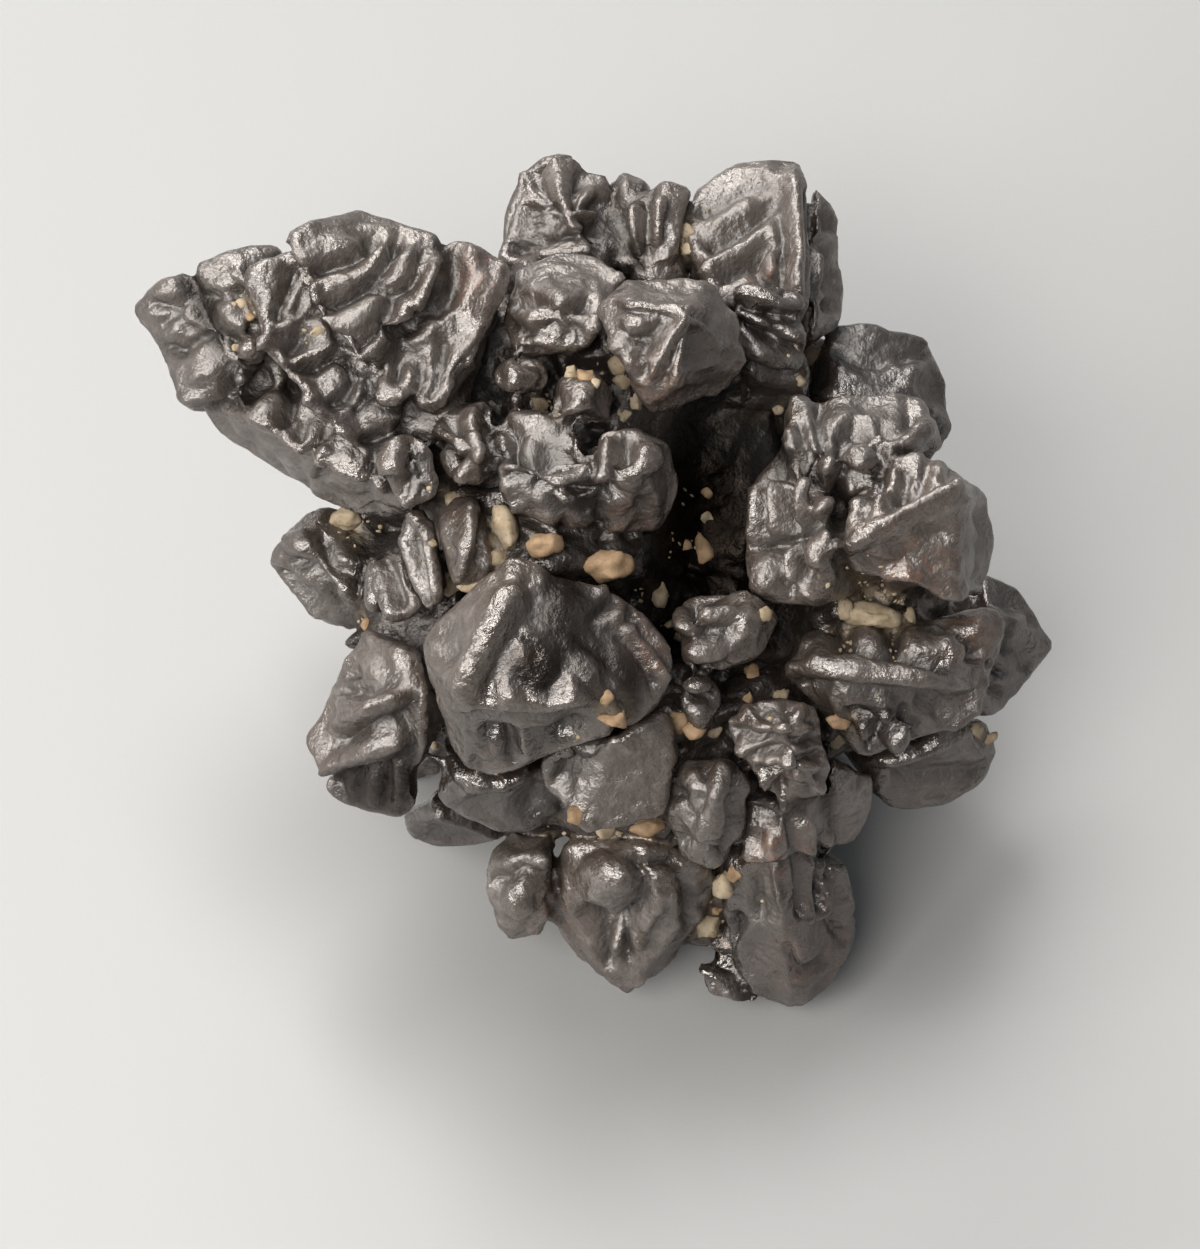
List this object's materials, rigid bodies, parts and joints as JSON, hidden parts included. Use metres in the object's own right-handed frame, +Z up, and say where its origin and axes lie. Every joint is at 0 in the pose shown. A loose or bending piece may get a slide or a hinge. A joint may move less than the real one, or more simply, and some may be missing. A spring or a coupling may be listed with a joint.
{
  "type": "prophecy stone",
  "caption": "Dark iron-oxide crystal cluster, radiating blocky crystals with ribbed faces and rounded rims, pale rock grains held in its crevices; rests on the tips of its lower crystals.",
  "frame": {"origin": "middle of the bounding box on the surface that the stone rests on", "axes": "+Z up as it rests; +Y away from the side that faces the viewer; +X to the viewer's right, the crystal wing reaches towards -X"},
  "size_m": [0.0602, 0.0482, 0.0479],
  "materials": {
    "iron_stone": "satin to half-gloss dark brown-grey iron oxide, polished on rims and ribs, duller in the grooves",
    "pale_rock": null,
    "ochre_rock": null
  },
  "bodies": {
    "root": {"stone": "iron_stone", "grain_under_nose": "ochre_rock", "grain_on_heart": "ochre_rock", "grain_by_cheek": "pale_rock", "grain_below_cheek": "pale_rock", "grain_under_wing": "pale_rock", "grain_under_shoulder": "pale_rock", "grain_above_foot": "ochre_rock", "grain_in_cleft": "pale_rock", "grain_low_in_cleft": "pale_rock"}
  },
  "joints": []
}
